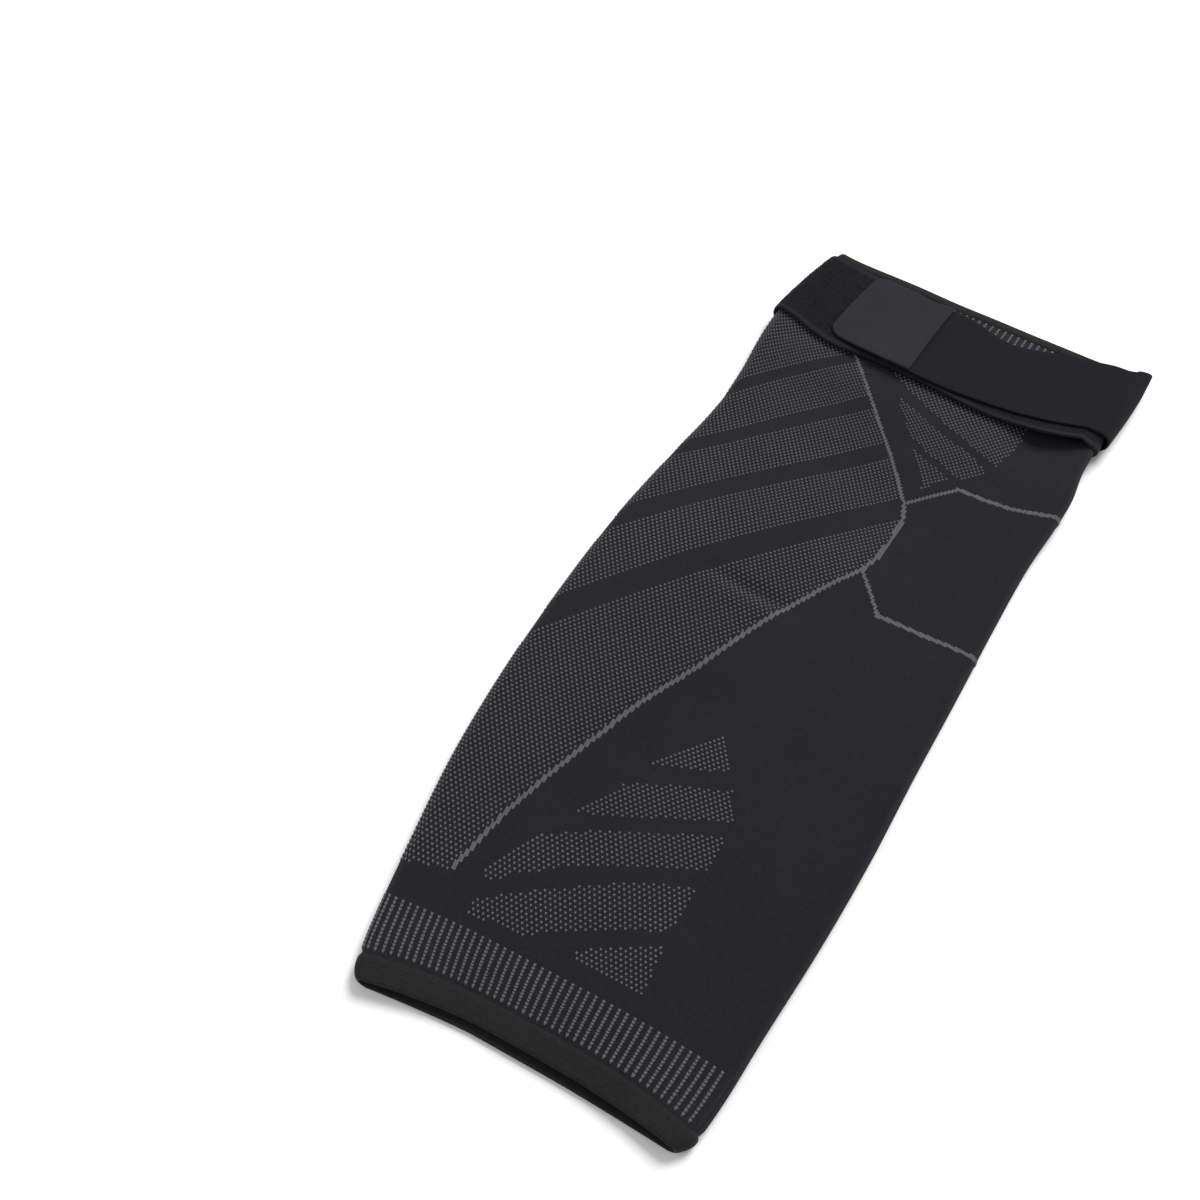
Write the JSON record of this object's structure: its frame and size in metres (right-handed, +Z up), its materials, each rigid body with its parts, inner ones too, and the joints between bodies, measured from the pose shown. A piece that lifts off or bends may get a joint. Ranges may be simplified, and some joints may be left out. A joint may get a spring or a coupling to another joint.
{
  "type": "knee compression sleeve",
  "caption": "Long knitted knee compression sleeve lying flat, with rib cuffs, turned welts and an elastic hook-and-loop strap round the thigh opening.",
  "frame": {"origin": "on the floor under the middle of the whole sleeve", "axes": "+Z up from the floor, +Y along the sleeve towards the thigh opening, +X across it towards the fold at the kneecap"},
  "size_m": [0.1638, 0.4002, 0.0193],
  "materials": {
    "knit_black": "dense bluish-black jacquard knit with grey dotted zones and outlines",
    "rib_cuff": "black rib knit with grey ticks",
    "welt": "plain brownish-black turned knit edge",
    "loop_pile": "black brushed loop pile on elastic",
    "strap_elastic": "black woven elastic",
    "hook_tape": "dark grey matt back of hook tape"
  },
  "bodies": {
    "root": {"knit_sleeve": "knit_black", "calf_rib_cuff": "rib_cuff", "thigh_rib_cuff": "rib_cuff", "calf_welt": "welt", "thigh_welt": "welt", "loop_band": "loop_pile", "pull_strap": "strap_elastic", "hook_tab": "hook_tape"}
  },
  "joints": []
}
